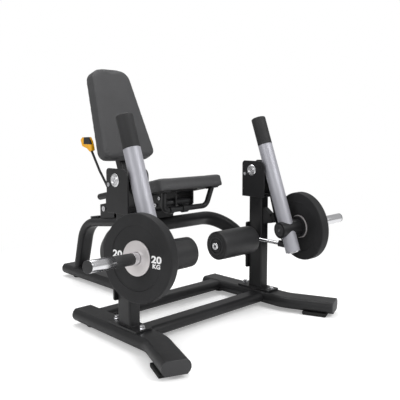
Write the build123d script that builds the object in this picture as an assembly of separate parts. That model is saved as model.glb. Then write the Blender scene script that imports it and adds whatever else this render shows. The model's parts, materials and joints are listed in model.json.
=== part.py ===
from build123d import *
import os
from math import atan, cos, degrees, hypot, radians, sin, tan

os.makedirs("parts", exist_ok=True)

# Machine frame in mm: X to the right seen from the front, Y to the rear, Z up, floor at Z = 0.
# ---- base ----
side_x = 435.0
foot_clear = 18.0
beam_w, beam_h, beam_flat = 122.0, 60.0, 85.0
beam_wall = 3.0
beam_z = foot_clear + beam_h / 2
beam_top = foot_clear + beam_h
foot_rear_y, foot_bend_y, foot_front_y = -18.0, -588.0, -828.0
foot_flare = 22.0
foot_bend_r = 160.0
cap_t = 5.0
rear_beam_y = 848.0
cross_w, cross_h = 100.0, 50.0
front_cross_y, rear_cross_y = -433.0, -109.0
pad_len, pad_w = 125.0, 122.0
pad_setback = 28.0
rear_foot_r = 27.0
rear_foot_y = (-95.0, 762.0)

# ---- uprights and heads ----
upright_x, upright_y = 60.0, 90.0
upright_wall, upright_corner = 4.0, 10.0
upright_mid_y = -397.0
base_plate_t = 10.0
base_plate_y = (-507.0, -285.0)
base_plate_w, base_bolt_in = 90.0, 17.0
head_y = (-479.0, -326.0)
head_z = (587.0, 779.0)
head_w, head_t = 113.0, 8.0
head_floor_front, head_floor_t = -468.0, 10.0
head_front_r, head_rear_r = 34.0, 18.0
head_bolts = ((-350.0, 709.0),)
pivot_y, pivot_z = -395.0, 730.0
shaft_r = 15.0
shaft_fit = 0.05
pivot_cap_r, pivot_cap_t = 29.0, 7.0
cap_dish_r, cap_dish = 9.0, 3.0

# ---- levers ----
lever_tilt = 19.8
lever_top = (-387.0, 1004.0)
lever_len, lever_r, lever_wall = 733.0, 38.0, 4.0
grip_len, grip_wall = 149.5, 3.0
hub_r, hub_half = 34.0, 46.0
web_t = 12.0
stop_at = 535.0
web_edge = 60.0
bumper_r, bumper_t, bumper_gap = 19.0, 14.0, 0.4
gusset_t, gusset_up, gusset_down, nose_half = 38.0, 56.0, 34.0, 24.0
web_top, web_waist, web_low = 268.0, 330.0, 585.0
stop_pad_len, stop_pad_t = 52.0, 10.0

# ---- weight horns and plates ----
horn_at = 610.0
horn_splay, horn_rise = 11.3, 4.0
knuckle_r, knuckle_in, knuckle_out = 42.0, 53.0, 70.0
collar_r = 56.0
horn_r, horn_tip = 24.5, 383.0
band_in, band_out, band_t, band_sink = 150.0, 256.0, 2.0, 0.5
horn_cap_t = 6.0
plate_r, plate_in, plate_t = 180.0, 79.0, 46.0
plate_recess_r, plate_recess, plate_edge_r = 129.0, 4.0, 6.0
plate_hub_r, plate_hub_in_r, plate_bore_r = 71.0, 61.0, 25.3

# ---- shin rollers ----
roller_y, roller_z = -415.0, 363.0
roller_r, roller_in, roller_out = 73.0, 91.0, 345.0
rod_r, rod_fit = 9.5, 0.05
rod_bend_x, rod_bend_r = 383.0, 26.0
roller_edge_r = 7.0
core_r, disc_r, disc_t = 15.0, 50.0, 6.0
groove_r = (26.0, 42.0)
nut_r, nut_t, nut_hole_r = 19.0, 10.0, 7.0
weld_gap = 1.5
rod_end_z = 345.0
socket_r, socket_len = 17.0, 34.0

# ---- upper frame ----
oval_w, oval_h, oval_wall = 85.0, 50.0, 3.0
arch_y, arch_z, arch_foot_z = -129.0, 454.0, 271.0
arch_r = 178.0
flange_w, flange_t = 90.0, 10.0
flange_z = (191.0, 443.0)
flange_bolt_x, flange_bolt_z = 28.0, (223.0, 423.0)
spine_w, spine_h = 100.0, 50.0
spine_start, spine_corner, spine_foot = (-129.0, 464.0), (626.0, 375.0), (713.0, beam_top)
spine_bend_r = 165.0
rail_r, rail_tilt = 19.0, 12.0
rail_end = (487.0, 542.0)
rail_front_y = 42.0
rail_fit = 0.05
rail_plate_t, rail_plate_x = 8.0, 24.0
rail_plate_top = 48.0
rail_bracket_y = (300.0, 440.0)
saddle_y = (346.0, 386.0)
stand_top_y, stand_foot_y = (45.0, 70.0), (15.0, 86.0)
rail_bolt, rail_bolt_r, rail_bolt_h = (394.0, 483.0), 15.5, 9.0
strip_y, strip_w, strip_foot_w = (470.0, 560.0), 50.0, 38.0
strip_t, strip_foot = 8.0, 4.0

# ---- seat ----
seat_edge = (-340.0, 718.0)
seat_tilt, seat_depth, seat_half = 12.0, 380.0, 214.0
seat_pad_t, board_t, board_inset = 62.0, 12.0, 14.0
seat_corner_r, pad_top_r, pad_low_r = 22.0, 12.0, 3.0
pad_gap = 0.3
bracket_x, bracket_t = 56.0, 8.0
seat_bracket_y = (-283.0, -68.0)
seat_plate = (140.0, 260.0, 6.0)
seat_plate_at = 190.0
seat_bolts = ((-159.0, 595.0), (-210.0, 578.0), (-127.0, 556.0))
seat_block_x, seat_block_y, seat_block_z = (-119.0, -15.0), (-200.0, -122.0), (502.0, 538.0)
cross_rod_y, cross_rod_z, cross_rod_r = -250.0, 582.0, 20.0
cross_rod_x = (-112.0, 66.0)
bar_r, bar_y, bar_z, bar_half = 14.0, -288.0, 552.0, 143.0
bar_top_y, bar_top_x = -312.0, 158.0
bar_bend_r = 32.0
bar_foot, bar_foot_t = 46.0, 6.0
clamps, clamp_wall = ((-98.0, 22.0), (-9.0, 34.0)), 6.0

# ---- backrest ----
back_foot = (157.0, 804.0)
back_tilt, back_len = 21.7, 537.0
back_low_half, back_high_half = 173.0, 123.0
back_pad_t = 72.0
back_drop = 12.0
carriage_y, carriage_len, carriage_half_x = 112.0, 140.0, 40.0
carriage_low, carriage_high = 30.0, 32.0
post_x, post_d = 50.0, 50.0
post_plate_t = 10.0
post_reach, post_low = 330.0, 320.0
post_wall, post_corner = 3.0, 8.0
back_plate = (120.0, 300.0)
back_plate_at = 170.0
crown = 14.0

# ---- release lever ----
release_x, release_y, release_z = -165.0, 128.0, 608.0
release_r, release_bend_r = 6.5, 14.0
release_hub_r = 14.0
release_path = ((168.0, 657.0), (226.0, 722.0), (298.0, 824.0), (311.0, 850.0))
handle_path = (
    (284.0, 832.0),
    (303.0, 822.0),
    (334.0, 841.0),
    (380.0, 852.0),
    (396.0, 886.0),
    (378.0, 901.0),
    (317.0, 903.0),
    (299.0, 882.0),
    (287.0, 850.0),
)
insert_path = ((250.0, 863.0), (366.0, 863.0), (361.0, 930.0), (250.0, 930.0))
handle_w, handle_edge_r, insert_w, insert_gap = 20.0, 4.0, 9.0, 0.2

bolt_r, bolt_h = 9.0, 7.0
hex_r, hex_depth = 5.0, 4.0
nut_flat_r, nut_h, washer_r, washer_t = 11.0, 12.0, 14.0, 2.5


def save(shape, node):
    export_step(shape, f"parts/{node}.step")


def flat_oval(width, height, flat):
    """Closed outline with a flat top and bottom and arched sides."""
    a, b, h = flat / 2, width / 2, height / 2
    edges = [
        Line((-a, h), (a, h)),
        ThreePointArc((a, h), (b, 0), (a, -h)),
        Line((a, -h), (-a, -h)),
        ThreePointArc((-a, -h), (-b, 0), (-a, h)),
    ]
    return make_face(edges)


def pipe(outer, inner, path, x_dir):
    """Hollow sweep of two outlines along a path, and the same sweep without its bore."""
    start = Plane(origin=path @ 0, x_dir=x_dir, z_dir=path % 0)
    full = sweep(start * outer, path=path)
    return full - sweep(start * inner, path=path), full


def rod(points, radius, bend):
    """Round bar along filleted straight lines."""
    path = FilletPolyline(*points, radius=bend)
    start = Plane(origin=path @ 0, z_dir=path % 0)
    return sweep(start * Circle(radius), path=path)


def yz_prism(points, x_mid, thick):
    """Plate of a given thickness across X from an outline in Y and Z."""
    face = make_face(Polyline(*points, close=True))
    return Plane.YZ.offset(x_mid - thick / 2) * extrude(face, thick)


def x_rod(x0, x1, y, z, radius):
    return Pos((x0 + x1) / 2, y, z) * Rot(0, 90, 0) * Cylinder(radius, abs(x1 - x0))


def both(shape):
    return [shape, mirror(shape, about=Plane.YZ)]


def group(shapes):
    return Compound(children=list(shapes))


def bolt(location, radius=bolt_r, height=bolt_h):
    """Cap head with a hex socket, standing on the local XY plane."""
    head = Cylinder(radius, height, align=(Align.CENTER, Align.CENTER, Align.MIN))
    socket = Pos(0, 0, height - hex_depth) * extrude(RegularPolygon(hex_r, 6), hex_depth)
    return location * (head - socket)


def hex_bolt(location):
    """Hexagon head on a washer, standing on the local XY plane."""
    washer = Cylinder(washer_r, washer_t, align=(Align.CENTER, Align.CENTER, Align.MIN))
    head = Pos(0, 0, washer_t) * extrude(RegularPolygon(nut_flat_r, 6), nut_h)
    return location * (washer + head)


# ---------------- base ----------------
def beam_faces():
    outer = flat_oval(beam_w, beam_h, beam_flat)
    k = beam_wall
    inner = flat_oval(beam_w - 2 * k, beam_h - 2 * k, beam_flat - k)
    return outer, inner


def foot_beam():
    run = foot_bend_y - foot_front_y
    tip_x = side_x + run * tan(radians(foot_flare))
    path = FilletPolyline(
        (side_x, foot_rear_y, beam_z),
        (side_x, foot_bend_y, beam_z),
        (tip_x, foot_front_y, beam_z),
        radius=foot_bend_r,
    )
    outer, inner = beam_faces()
    hollow, full = pipe(outer, inner, path, (1, 0, 0))
    return hollow, full, path


def end_cap(path_end, direction):
    outer, _ = beam_faces()
    side = Vector(-direction.Y, direction.X, 0)
    face = Plane(origin=path_end, x_dir=side, z_dir=direction) * outer
    cap = extrude(face, cap_t)
    return fillet(cap.faces().sort_by(Axis(path_end, direction))[-1].edges(), 2)


def cross_tube(y, feet):
    outer = flat_oval(cross_w, cross_h, cross_w - cross_h)
    inner = flat_oval(cross_w - 2 * beam_wall, cross_h - 2 * beam_wall, cross_w - cross_h)
    start = Plane(origin=(-side_x, y, beam_z), x_dir=(0, 1, 0), z_dir=(1, 0, 0))
    full = extrude(start * outer, 2 * side_x)
    tube = full - extrude(start * inner, 2 * side_x)
    for foot in feet:
        tube -= foot
    solid = max(tube.solids(), key=lambda s: s.bounding_box().size.X)
    return solid, full


def rear_beam(cross_full):
    outer, inner = beam_faces()
    start_y = rear_cross_y + cross_w / 2 - 6
    start = Plane(origin=(0, start_y, beam_z), x_dir=(1, 0, 0), z_dir=(0, 1, 0))
    length = rear_beam_y - start_y
    beam = extrude(start * outer, length) - extrude(start * inner, length)
    return beam - cross_full


def front_pad(path):
    end, direction = path @ 1, path % 1
    centre = end - direction * (pad_setback + pad_len / 2)
    angle = degrees(atan(direction.X / -direction.Y))
    block = Box(pad_w, pad_len, foot_clear, align=(Align.CENTER, Align.CENTER, Align.MIN))
    block = chamfer(block.faces().sort_by(Axis.Z)[0].edges().filter_by(Axis.X), 6)
    return Pos(centre.X, centre.Y, 0) * Rot(0, 0, angle) * block


def rear_feet():
    feet = []
    for x, y in ((side_x, rear_foot_y[0]), (-side_x, rear_foot_y[0]), (0, rear_foot_y[1])):
        disc = Cylinder(rear_foot_r, foot_clear, align=(Align.CENTER, Align.CENTER, Align.MIN))
        feet.append(Pos(x, y, 0) * chamfer(disc.edges().sort_by(Axis.Z)[0], 4))
    return feet


def make_base():
    hollow, full, path = foot_beam()
    feet_full = both(full)
    for name, shape in zip(("right", "left"), both(hollow)):
        save(shape, f"{name}_foot_beam")
    front, _ = cross_tube(front_cross_y, feet_full)
    rear, rear_full = cross_tube(rear_cross_y, feet_full)
    save(front, "front_cross_tube")
    save(rear, "rear_cross_tube")
    save(rear_beam(rear_full), "rear_foot_beam")
    caps = both(end_cap(path @ 1, path % 1)) + both(end_cap(path @ 0, Vector(0, 1, 0)))
    caps.append(end_cap(Vector(0, rear_beam_y, beam_z), Vector(0, 1, 0)))
    save(group(caps), "foot_end_caps")
    save(group(both(front_pad(path))), "front_rubber_pads")
    save(group(rear_feet()), "rear_rubber_feet")


# ---------------- uprights and heads ----------------
def upright():
    low, high = beam_top, head_z[0]
    outer = RectangleRounded(upright_x, upright_y, upright_corner)
    k = 2 * upright_wall
    inner = RectangleRounded(upright_x - k, upright_y - k, upright_corner - upright_wall)
    post = extrude(outer - inner, high - low - base_plate_t)
    post = Pos(side_x, upright_mid_y, low + base_plate_t) * post
    plate_len = base_plate_y[1] - base_plate_y[0]
    plate = extrude(RectangleRounded(base_plate_w, plate_len, 8), base_plate_t)
    return post + Pos(side_x, sum(base_plate_y) / 2, low) * plate


def head_bracket():
    (y0, y1), (z0, z1) = head_y, head_z
    side = Plane.YZ * Pos((y0 + y1) / 2, (z0 + z1) / 2) * Rectangle(y1 - y0, z1 - z0)
    plate = extrude(side, head_t)
    front_top = plate.edges().filter_by(Axis.X).sort_by(Axis.Y)[:2].sort_by(Axis.Z)[-1]
    plate = fillet(front_top, head_front_r)
    rear_top = plate.edges().filter_by(Axis.X).sort_by(Axis.Y)[-2:].sort_by(Axis.Z)[-1]
    plate = fillet(rear_top, head_rear_r)
    plate -= x_rod(-head_t, 2 * head_t, pivot_y, pivot_z, shaft_r)
    outer = Pos(side_x + head_w / 2 - head_t, 0, 0) * plate
    inner = Pos(side_x - head_w / 2, 0, 0) * plate
    depth = y1 - head_floor_front
    floor = Box(head_w - 2 * head_t, depth, head_floor_t, align=(Align.CENTER, Align.MIN, Align.MIN))
    return outer + inner + Pos(side_x, head_floor_front, z0) * floor


def pivot_cap(x, outward):
    disc = Cylinder(pivot_cap_r, pivot_cap_t, align=(Align.CENTER, Align.CENTER, Align.MIN))
    disc = fillet(disc.edges().sort_by(Axis.Z)[-1], 3)
    dish = Cylinder(cap_dish_r, cap_dish, align=(Align.CENTER, Align.CENTER, Align.MIN))
    disc -= Pos(0, 0, pivot_cap_t - cap_dish) * dish
    return Pos(x, pivot_y, pivot_z) * Rot(0, 90 * outward, 0) * disc


def stop_bracket():
    """Gusset on the upright whose slanted nose carries the bumper square to the lever."""
    front = upright_mid_y - upright_y / 2
    nose = lever_point(stop_at, web_edge + bumper_gap + bumper_t)
    along = (sin(radians(lever_tilt)), cos(radians(lever_tilt)))
    dy, dz = nose_half * along[0], nose_half * along[1]
    points = [
        (front, nose[1] + gusset_up),
        (front, nose[1] - gusset_down),
        (nose[0] - dy, nose[1] - dz),
        (nose[0] + dy, nose[1] + dz),
    ]
    return yz_prism(points, side_x, gusset_t)


def bumper():
    tip = lever_point(stop_at, web_edge + bumper_gap)
    disc = Cylinder(bumper_r, bumper_t, align=(Align.CENTER, Align.CENTER, Align.MIN))
    disc = fillet(disc.edges().sort_by(Axis.Z)[0], 3)
    away = (0, cos(radians(lever_tilt)), -sin(radians(lever_tilt)))
    return Plane(origin=(side_x, tip[0], tip[1]), x_dir=(1, 0, 0), z_dir=away) * disc


def make_uprights():
    for name, shape in zip(("right", "left"), both(upright())):
        save(shape, f"{name}_upright")
    for name, shape in zip(("right", "left"), both(head_bracket())):
        save(shape, f"{name}_head_bracket")
    shaft = x_rod(side_x - head_w / 2, side_x + head_w / 2, pivot_y, pivot_z, shaft_r)
    save(group(both(shaft)), "pivot_shafts")
    caps = both(pivot_cap(side_x + head_w / 2, 1)) + both(pivot_cap(side_x - head_w / 2, -1))
    save(group(caps), "pivot_caps")
    save(group(both(stop_bracket())), "stop_brackets")
    save(group(both(bumper())), "stop_bumpers")


# ---------------- levers ----------------
def lever_point(along, behind=0.0):
    """Y and Z of a point a distance down the lever tube and behind its axis."""
    s, c = sin(radians(lever_tilt)), cos(radians(lever_tilt))
    return lever_top[0] - along * s + behind * c, lever_top[1] - along * c - behind * s


def lever_plane(along):
    y, z = lever_point(along)
    down = (0, -sin(radians(lever_tilt)), -cos(radians(lever_tilt)))
    return Plane(origin=(side_x, y, z), x_dir=(1, 0, 0), z_dir=down)


def lever_slug(along, length, radius):
    return lever_plane(along) * Cylinder(radius, length, align=(Align.CENTER, Align.CENTER, Align.MIN))


def lever_tube():
    tube = lever_slug(grip_len, lever_len - grip_len, lever_r)
    tube += lever_slug(6, grip_len, lever_r - grip_wall)
    return tube - lever_slug(6, lever_len - 16, lever_r - grip_wall - lever_wall)


def grip_sleeve():
    sleeve = lever_slug(0, grip_len, lever_r)
    top_edge = sleeve.edges().filter_by(GeomType.CIRCLE).sort_by(Axis.Z)[-1]
    sleeve = fillet(top_edge, 4)
    return sleeve - lever_slug(6, grip_len, lever_r - grip_wall)


def lever_web():
    """Plate behind the tube with the pivot hub welded through it."""
    corner = 12.0
    points = [
        lever_point(web_top, 0),
        lever_point(web_top, hub_r - 4),
        (pivot_y - corner, pivot_z + hub_r - 4),
        (pivot_y + hub_r - 6, pivot_z),
        lever_point(web_waist + corner, web_edge + 2),
        lever_point(web_waist + 5 * corner, web_edge - 8),
        lever_point(stop_at, web_edge),
        lever_point(web_low - corner, web_edge),
        lever_point(web_low, web_edge - corner),
        lever_point(web_low, 0),
    ]
    web = yz_prism(points, side_x, web_t)
    pad = Box(2 * bumper_r, stop_pad_t, stop_pad_len, align=(Align.CENTER, Align.CENTER, Align.MIN))
    web += lever_plane(stop_at - stop_pad_len / 2) * Pos(0, stop_pad_t / 2 - web_edge, 0) * pad
    web += x_rod(side_x - hub_half, side_x + hub_half, pivot_y, pivot_z, hub_r)
    web -= lever_slug(grip_len, lever_len, lever_r)
    return web - x_rod(side_x - head_w, side_x + head_w, pivot_y, pivot_z, shaft_r + shaft_fit)


def horn_direction():
    a, b = radians(horn_splay), radians(horn_rise)
    return Vector(cos(a) * cos(b), -sin(a) * cos(b), sin(b))


def horn_slug(start, end, radius):
    y, z = lever_point(horn_at)
    axis = horn_direction()
    origin = Vector(side_x, y, z) + axis * start
    body = Cylinder(radius, end - start, align=(Align.CENTER, Align.CENTER, Align.MIN))
    return Plane(origin=origin, z_dir=axis) * body


def knuckle():
    body = horn_slug(-knuckle_in, knuckle_out, knuckle_r)
    body += horn_slug(knuckle_out, plate_in - pad_gap, collar_r)
    return body - lever_slug(grip_len, lever_len, lever_r)


def horn():
    bar = horn_slug(plate_in - pad_gap, horn_tip - horn_cap_t, horn_r)
    groove = horn_slug(band_in, band_out, horn_r + 1) - horn_slug(band_in, band_out, horn_r - band_t)
    return bar - groove


def horn_trim():
    band = horn_slug(band_in, band_out, horn_r - band_sink)
    band -= horn_slug(band_in, band_out, horn_r - band_t)
    cap = horn_slug(horn_tip - horn_cap_t, horn_tip, horn_r)
    return group([band, cap])


def plate_rubber():
    face = plate_in + plate_t
    body = horn_slug(plate_in, face, plate_r)
    body = fillet(body.edges().filter_by(GeomType.CIRCLE), plate_edge_r)
    for start, end in ((plate_in, plate_in + plate_recess), (face - plate_recess, face)):
        body -= horn_slug(start, end, plate_recess_r)
    body -= horn_slug(plate_in - 1, face, plate_hub_in_r)
    return body - horn_slug(plate_in + plate_t / 2, face + 1, plate_hub_r)


def plate_hub():
    middle = plate_in + plate_t / 2
    body = horn_slug(plate_in + 1, middle, plate_hub_in_r)
    body += horn_slug(middle, plate_in + plate_t - 1, plate_hub_r)
    return body - horn_slug(plate_in, plate_in + plate_t, plate_bore_r)


def roller_arm():
    tube_y = lever_point((lever_top[1] - rod_end_z) / cos(radians(lever_tilt)))[0]
    aim = Vector(side_x - rod_bend_x, tube_y - roller_y, rod_end_z - roller_z)
    stop = Vector(rod_bend_x, roller_y, roller_z) + aim * ((aim.length - lever_r - weld_gap) / aim.length)
    start = (roller_in + 8, roller_y, roller_z)
    bar = rod([start, (rod_bend_x, roller_y, roller_z), stop], rod_r, rod_bend_r)
    bar -= lever_slug(grip_len, lever_len, lever_r)
    direction = aim.normalized()
    place = Plane(origin=stop - direction * (socket_len - weld_gap), z_dir=direction)
    block = place * Cylinder(socket_r, socket_len + 20, align=(Align.CENTER, Align.CENTER, Align.MIN))
    block = block - lever_slug(grip_len, lever_len, lever_r) - bar
    block = max(block.solids(), key=lambda s: s.volume)
    return bar, block


def roller_foam():
    body = x_rod(roller_in, roller_out, roller_y, roller_z, roller_r)
    body = fillet(body.edges().filter_by(GeomType.CIRCLE), roller_edge_r)
    body -= x_rod(roller_in, roller_in + disc_t, roller_y, roller_z, disc_r)
    body -= x_rod(roller_out - disc_t, roller_out, roller_y, roller_z, disc_r)
    return body - x_rod(roller_in, roller_out, roller_y, roller_z, core_r)


def roller_core():
    body = x_rod(roller_in + 2, roller_out - 2, roller_y, roller_z, core_r)
    body += x_rod(roller_in + 1, roller_in + disc_t, roller_y, roller_z, disc_r)
    body += x_rod(roller_out - disc_t, roller_out - 1, roller_y, roller_z, disc_r)
    groove = x_rod(roller_in, roller_in + disc_t / 2, roller_y, roller_z, groove_r[1])
    body -= groove - x_rod(roller_in, roller_in + disc_t / 2, roller_y, roller_z, groove_r[0])
    return body - x_rod(roller_in, roller_out, roller_y, roller_z, rod_r + rod_fit)


def roller_nut():
    outer_x, seat_x = roller_in - nut_t, roller_in + 0.5
    nut = x_rod(outer_x, seat_x, roller_y, roller_z, nut_r)
    nut = fillet(nut.edges().filter_by(GeomType.CIRCLE).sort_by(Axis.X)[0], 3)
    nut += x_rod(seat_x, roller_in + 8, roller_y, roller_z, rod_r)
    return nut - x_rod(outer_x, outer_x + nut_t / 2, roller_y, roller_z, nut_hole_r)


def make_levers():
    arm, socket = roller_arm()
    pieces = {
        "lever_tube": lever_tube(),
        "grip_sleeve": grip_sleeve(),
        "lever_web": lever_web(),
        "knuckle": knuckle(),
        "horn": horn(),
        "plate_rubber": plate_rubber(),
        "plate_hub": plate_hub(),
        "roller_arm": arm,
        "roller_socket": socket,
        "roller_foam": roller_foam(),
        "roller_core": roller_core(),
        "roller_nut": roller_nut(),
    }
    for node, shape in pieces.items():
        for name, copy in zip(("right", "left"), both(shape)):
            save(copy, f"{name}_{node}")
    trim = horn_trim()
    save(trim, "right_horn_trim")
    save(group([mirror(s, about=Plane.YZ) for s in trim.solids()]), "left_horn_trim")


# ---------------- upper frame ----------------
def oval_faces():
    k = 2 * oval_wall
    return SlotOverall(oval_w, oval_h), SlotOverall(oval_w - k, oval_h - k)


def rear_face_y():
    return upright_mid_y + upright_y / 2


def arch_tube():
    face_y = rear_face_y() + flange_t
    run, rise = arch_y - face_y, arch_z - arch_foot_z
    length = hypot(run, rise)
    lean = Plane(origin=(0, arch_y, arch_z), x_dir=(1, 0, 0), z_dir=(0, -rise / length, run / length))
    spare = 80
    points = [(-side_x, -length - spare), (-side_x, 0), (side_x, 0), (side_x, -length - spare)]
    flat = FilletPolyline(*points, radius=arch_r)
    path = lean * flat
    outer, inner = oval_faces()
    hollow, full = pipe(outer, inner, path, lean.z_dir)
    trim = Pos(0, face_y, 0) * Box(2000, 2000, 2000, align=(Align.CENTER, Align.MIN, Align.CENTER))
    return hollow & trim, full & trim


def arch_flange():
    height = flange_z[1] - flange_z[0]
    plate = extrude(RectangleRounded(flange_w, height, 8), flange_t)
    place = Plane(origin=(side_x, rear_face_y(), sum(flange_z) / 2), x_dir=(-1, 0, 0), z_dir=(0, 1, 0))
    return place * plate


def spine_tube(arch_full):
    """The hollow spine between the arch and the rear beam, and the same tube filled."""
    path = Plane.YZ * FilletPolyline(spine_start, spine_corner, spine_foot, radius=spine_bend_r)
    k = 2 * oval_wall
    start = path % 0
    in_plane = (0, -start.Z, start.Y)
    outer, inner = SlotOverall(spine_w, spine_h), SlotOverall(spine_w - k, spine_h - k)
    hollow, full = pipe(Rot(0, 0, 90) * outer, Rot(0, 0, 90) * inner, path, in_plane)
    floor = Pos(0, 0, beam_top) * Box(400, 3000, 3000, align=(Align.CENTER, Align.CENTER, Align.MIN))
    hollow = (hollow & floor) - arch_full
    return max(hollow.solids(), key=lambda s: s.volume), full


def spine_top(y):
    (y0, z0), (y1, z1) = spine_start, spine_corner
    slope = (z1 - z0) / (y1 - y0)
    return z0 + slope * (y - y0) + spine_h / 2 * hypot(1, slope)


def cover_strip(spine_full):
    """Flat cover on a narrower foot, along the top of the spine before its bend."""
    y0, y1 = strip_y
    low, high = (y0, spine_top(y0) - strip_foot), (y1, spine_top(y1) - strip_foot)
    rise = 2 * strip_foot
    foot = [low, high, (high[0], high[1] + rise), (low[0], low[1] + rise)]
    cap = [(y, z + rise) for y, z in (low, high)]
    cap += [(high[0] - strip_t, high[1] + rise + strip_t), (low[0], low[1] + rise + strip_t)]
    return yz_prism(foot, 0, strip_foot_w) + yz_prism(cap, 0, strip_w) - spine_full


def rail_axis_z(y):
    return rail_end[1] + (rail_end[0] - y) * tan(radians(rail_tilt))


def rail_plane(y):
    """Local X across, local Y down along the rail to the rear, local Z square to it."""
    a = radians(rail_tilt)
    return Plane(origin=(0, y, rail_axis_z(y)), x_dir=(1, 0, 0), z_dir=(0, sin(a), cos(a)))


def rail_slug(y0, y1, radius):
    length = (y1 - y0) / cos(radians(rail_tilt))
    body = Rot(-90, 0, 0) * Cylinder(radius, length, align=(Align.CENTER, Align.CENTER, Align.MIN))
    return rail_plane(y0) * body


def rail_bracket(spine_full):
    """Rear plates with a saddle block, and a front stand, that carry the rail on the spine."""
    y0, y1 = rail_bracket_y
    deep = spine_h / 2
    points = [
        (y0, spine_top(y0) - deep),
        (y1, spine_top(y1) - deep),
        (y1, rail_axis_z(y1) - rail_plate_top),
        (y0, rail_axis_z(y0) - rail_plate_top),
    ]
    rear = yz_prism(points, rail_plate_x, rail_plate_t) + yz_prism(points, -rail_plate_x, rail_plate_t)
    s0, s1 = saddle_y
    saddle = [(s0, spine_top(s0) - deep), (s1, spine_top(s1) - deep), (s1, rail_axis_z(s1)), (s0, rail_axis_z(s0))]
    rear += yz_prism(saddle, 0, 2 * rail_plate_x)
    (t0, t1), (f0, f1) = stand_top_y, stand_foot_y
    stand = [(f0, spine_top(f0) - deep), (f1, spine_top(f1) - deep), (t1, rail_axis_z(t1)), (t0, rail_axis_z(t0))]
    front = yz_prism(stand, 0, 2 * rail_plate_x)
    bore = rail_slug(rail_front_y - deep, rail_end[0] + deep, rail_r)
    return group([rear - spine_full - bore, front - spine_full - bore])


def guide_rail():
    bar = rail_slug(rail_front_y, rail_end[0], rail_r)
    return fillet(bar.edges().filter_by(GeomType.CIRCLE).sort_by(Axis.Y)[-1], 8)


# ---------------- seat ----------------
def seat_plane(depth_under):
    """Local X across, local Y to the rear along the seat, local Z square to it."""
    a = radians(seat_tilt)
    y = seat_edge[0] - depth_under * sin(a)
    z = seat_edge[1] - depth_under * cos(a)
    return Plane(origin=(0, y, z), x_dir=(1, 0, 0), z_dir=(0, sin(a), cos(a)))


def seat_under_z(y, depth_under):
    a = radians(seat_tilt)
    y0 = seat_edge[0] - depth_under * sin(a)
    return seat_edge[1] - depth_under * cos(a) - (y - y0) * tan(a)


def pad_with_pocket(outline, pocket, thick):
    """Cushion with rounded edges and a recess in its underside for the board."""
    pad = extrude(outline, thick)
    pad = fillet(pad.faces().sort_by(Axis.Z)[-1].edges(), pad_top_r)
    pad = fillet(pad.faces().sort_by(Axis.Z)[0].edges(), pad_low_r)
    return pad - extrude(pocket, board_t + pad_gap)


def seat_outline(inset):
    size = RectangleRounded(2 * (seat_half - inset), seat_depth - 2 * inset, seat_corner_r - inset / 2)
    return Pos(0, seat_depth / 2) * size


def seat_pad():
    pad = pad_with_pocket(seat_outline(0), seat_outline(board_inset - pad_gap), seat_pad_t)
    return seat_plane(seat_pad_t) * pad


def seat_board():
    return seat_plane(seat_pad_t) * extrude(seat_outline(board_inset), board_t)


def seat_bracket(arch_full):
    """Side plates on the arch tube, cross rod, top plate, side block and the bar clamps."""
    top = Pos(0, seat_plate_at) * Box(*seat_plate, align=(Align.CENTER, Align.CENTER, Align.MAX))
    shape = seat_plane(seat_pad_t) * top
    y0, y1 = seat_bracket_y
    arch_top = arch_z + 46
    points = [
        (y0, seat_under_z(y0, seat_pad_t + 3)),
        (y0, cross_rod_z - 10),
        (y0 + 14, cross_rod_z - 24),
        (arch_y - 46, arch_top + 35),
        (arch_y + 6, arch_top),
        (arch_y + 6, arch_z - 2),
        (arch_y + 47, arch_z - 2),
        (y1, arch_top),
        (y1, seat_under_z(y1, seat_pad_t + 3)),
    ]
    for x in (-bracket_x, bracket_x):
        shape += yz_prism(points, x, bracket_t)
    shape += x_rod(*cross_rod_x, cross_rod_y, cross_rod_z, cross_rod_r)
    (x0, x1), (y2, y3), (z0, z1) = seat_block_x, seat_block_y, seat_block_z
    shape += Pos((x0 + x1) / 2, (y2 + y3) / 2, (z0 + z1) / 2) * Box(x1 - x0, y3 - y2, z1 - z0)
    for x, width in clamps:
        shape += x_rod(x - width / 2, x + width / 2, bar_y, bar_z, bar_r + clamp_wall)
        low = [(bar_y - 8, bar_z), (bar_y + 8, bar_z)]
        high = [(cross_rod_y + 8, cross_rod_z), (cross_rod_y - 12, cross_rod_z)]
        shape += yz_prism(low + high, x, width)
    shape -= x_rod(-bar_half, bar_half, bar_y, bar_z, bar_r)
    return shape - arch_full


def hand_bar():
    top_z = seat_under_z(bar_top_y, seat_pad_t) - 3
    points = [
        (-bar_top_x, bar_top_y, top_z),
        (-bar_half, bar_y, bar_z),
        (bar_half, bar_y, bar_z),
        (bar_top_x, bar_top_y, top_z),
    ]
    bar = rod(points, bar_r, bar_bend_r)
    pad = seat_plane(seat_pad_t)
    for x in (-bar_top_x, bar_top_x):
        foot = Box(bar_foot, bar_foot, bar_foot_t, align=(Align.CENTER, Align.CENTER, Align.MAX))
        bar += pad * Pos(x, 38, 0) * foot
    board = Box(2 * seat_half, 2 * seat_depth, 4 * bar_r, align=(Align.CENTER, Align.CENTER, Align.MIN))
    return bar - pad * board


# ---------------- backrest ----------------
def back_plane(behind):
    """Local X across, local Y up along the back, local Z out of its front face."""
    a = radians(back_tilt)
    y = back_foot[0] + behind * cos(a) - back_drop * sin(a)
    z = back_foot[1] - behind * sin(a) - back_drop * cos(a)
    return Plane(origin=(0, y, z), x_dir=(1, 0, 0), z_dir=(0, -cos(a), sin(a)))


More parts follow.
